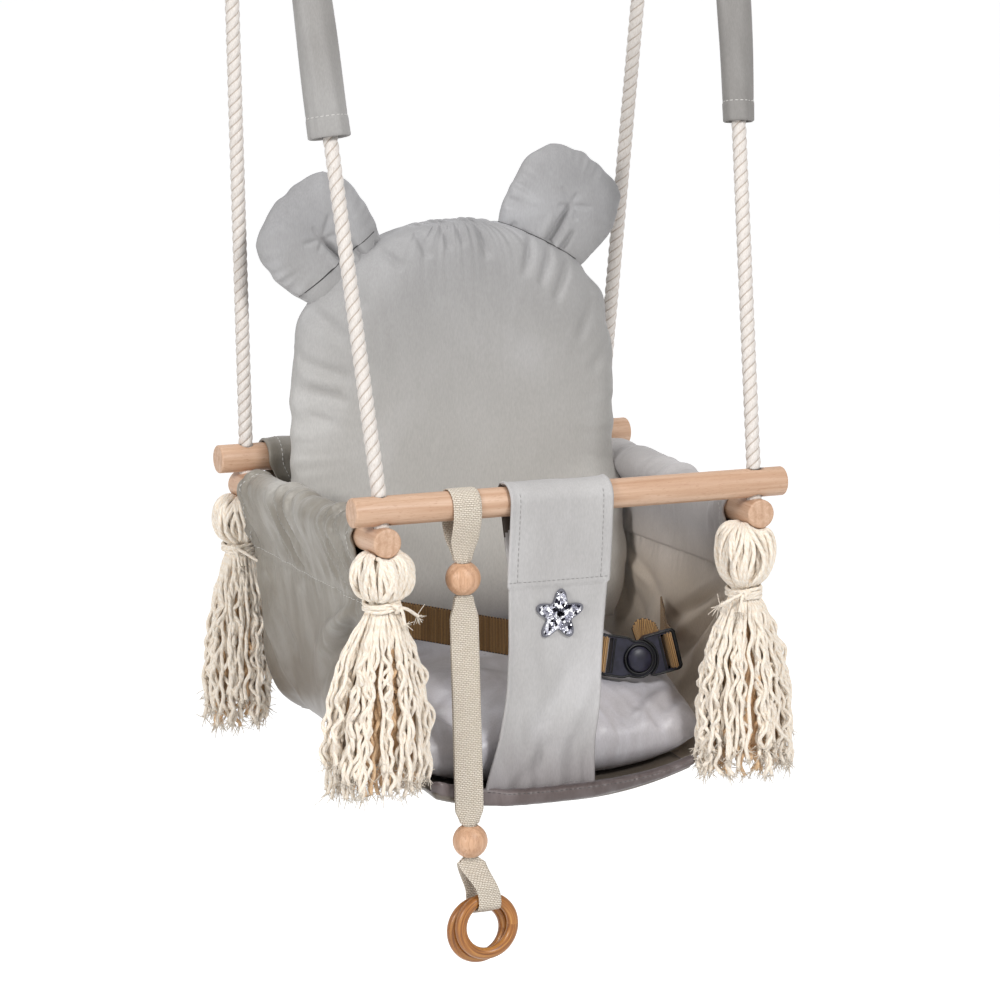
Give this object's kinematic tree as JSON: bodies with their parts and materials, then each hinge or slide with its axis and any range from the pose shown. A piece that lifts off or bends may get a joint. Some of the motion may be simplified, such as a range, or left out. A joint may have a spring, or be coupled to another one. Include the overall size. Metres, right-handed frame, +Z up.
{
  "type": "baby swing seat",
  "caption": "Hanging baby swing: wooden dowel frame on four ropes, padded velour seat with eared back cushion, waist belt, toy strap, tassels.",
  "frame": {"origin": "middle of the four points where the ropes' eyes hang on their rings", "axes": "+Z up, the seat faces -Y, +X to the right of someone who looks at its front"},
  "size_m": [0.4492, 0.364, 0.9732],
  "materials": {
    "velour": "grey velour with a soft sheen",
    "velour_pale": "pale grey velour",
    "beech": "sanded beech",
    "ring_wood": "varnished golden wood",
    "cotton_rope": "twisted cotton rope, off-white",
    "tassel_cotton": "cream cotton strands",
    "strap_webbing": "cream cotton webbing",
    "belt_webbing": "brown webbing",
    "buckle_plastic": "black moulded plastic",
    "ring_steel": "plain steel",
    "star_sequins": "silver sequins on a padded patch"
  },
  "bodies": {
    "hangers": {"hang_ring_fl": "ring_steel", "hang_ring_fr": "ring_steel", "hang_ring_rl": "ring_steel", "hang_ring_rr": "ring_steel"},
    "front_ropes": {"rope_fl": "cotton_rope", "rope_fr": "cotton_rope", "rope_seizing_fl": "cotton_rope", "rope_seizing_fr": "cotton_rope"},
    "seat": {"front_dowel": "beech", "rear_dowel": "beech", "left_side_dowel": "beech", "right_side_dowel": "beech", "rope_knot_fl": "cotton_rope", "tassel_head_fl": "tassel_cotton", "tassel_tie_fl": "tassel_cotton", "rope_knot_fr": "cotton_rope", "tassel_head_fr": "tassel_cotton", "tassel_tie_fr": "tassel_cotton", "rope_knot_rl": "cotton_rope", "tassel_head_rl": "tassel_cotton", "tassel_tie_rl": "tassel_cotton", "rope_knot_rr": "cotton_rope", "tassel_head_rr": "tassel_cotton", "tassel_tie_rr": "tassel_cotton", "back_panel": "velour", "left_panel": "velour", "right_panel": "velour", "seat_bottom": "velour", "crotch_panel": "velour_pale", "star_patch": "star_sequins", "seat_cushion": "velour", "back_cushion": "velour", "left_ear": "velour", "right_ear": "velour", "belt_left": "belt_webbing", "belt_right": "belt_webbing", "buckle_socket": "buckle_plastic"},
    "rear_ropes": {"rope_rl": "cotton_rope", "rope_rr": "cotton_rope", "rope_seizing_rl": "cotton_rope", "rope_seizing_rr": "cotton_rope"},
    "grip_left": {"grip_sleeve_left": "velour"},
    "grip_right": {"grip_sleeve_right": "velour"},
    "skirt_fl": {"tassel_skirt_fl": "tassel_cotton"},
    "skirt_fr": {"tassel_skirt_fr": "tassel_cotton"},
    "skirt_rl": {"tassel_skirt_rl": "tassel_cotton"},
    "skirt_rr": {"tassel_skirt_rr": "tassel_cotton"},
    "strap": {"toy_strap": "strap_webbing", "upper_bead": "beech", "lower_bead": "beech"},
    "ring_front": {"toy_ring_front": "ring_wood"},
    "ring_rear": {"toy_ring_rear": "ring_wood"},
    "button": {"buckle_button": "buckle_plastic"},
    "insert": {"buckle_insert": "buckle_plastic"}
  },
  "joints": [
    {"name": "swing", "type": "hinge", "parent": "hangers", "child": "front_ropes", "pos_m": [0, -0.06434, -0.00042], "axis": [1, 0, 0], "range_deg": [-12, 12]},
    {"name": "seat_pitch", "type": "hinge", "parent": "front_ropes", "child": "seat", "pos_m": [0, -0.19075, -0.54691], "axis": [1, 0, 0], "range_deg": [-7, 7]},
    {"name": "rear_rope_swing", "type": "hinge", "parent": "seat", "child": "rear_ropes", "pos_m": [0, 0.11525, -0.54691], "axis": [1, 0, 0], "range_deg": [-7, 7]},
    {"name": "grip_left_slide", "type": "slide", "parent": "front_ropes", "child": "grip_left", "axis": [0.0527, -0.2127, -0.9757], "range_m": [0, 0.245]},
    {"name": "grip_right_slide", "type": "slide", "parent": "front_ropes", "child": "grip_right", "axis": [-0.0527, -0.2127, -0.9757], "range_m": [0, 0.245]},
    {"name": "tassel_fl_swing", "type": "hinge", "parent": "seat", "child": "skirt_fl", "pos_m": [-0.173, -0.19075, -0.64271], "axis": [1, 0, 0], "range_deg": [-20, 2]},
    {"name": "tassel_fr_swing", "type": "hinge", "parent": "seat", "child": "skirt_fr", "pos_m": [0.164, -0.19075, -0.64271], "axis": [1, 0, 0], "range_deg": [-20, 2]},
    {"name": "tassel_rl_swing", "type": "hinge", "parent": "seat", "child": "skirt_rl", "pos_m": [-0.18, 0.11525, -0.64271], "axis": [1, 0, 0], "range_deg": [-2, 20]},
    {"name": "tassel_rr_swing", "type": "hinge", "parent": "seat", "child": "skirt_rr", "pos_m": [0.173, 0.11525, -0.64271], "axis": [1, 0, 0], "range_deg": [-2, 20]},
    {"name": "toy_strap_swing", "type": "hinge", "parent": "seat", "child": "strap", "pos_m": [-0.101, -0.19075, -0.54691], "axis": [1, 0, 0], "range_deg": [-30, 0.5]},
    {"name": "toy_ring_front_swing", "type": "hinge", "parent": "strap", "child": "ring_front", "pos_m": [-0.08011, -0.19625, -0.88391], "axis": [1, 0, 0], "range_deg": [-30, 0]},
    {"name": "toy_ring_rear_swing", "type": "hinge", "parent": "strap", "child": "ring_rear", "pos_m": [-0.08011, -0.18525, -0.88391], "axis": [1, 0, 0], "range_deg": [0, 30]},
    {"name": "buckle_button_press", "type": "slide", "parent": "seat", "child": "button", "axis": [0.1029, 0.9794, -0.1736], "range_m": [0, 0.002], "stiffness_N_per_m": 900},
    {"name": "buckle_insert_slide", "type": "slide", "parent": "seat", "child": "insert", "axis": [0.9797, -0.0697, 0.1879], "range_m": [0, 0.026], "deforming": ["belt_right"]}
  ],
  "couplings": [
    {"joint": "seat_pitch", "follows": "swing", "ratio": -0.4192},
    {"joint": "rear_rope_swing", "follows": "swing", "ratio": 0.4175}
  ]
}
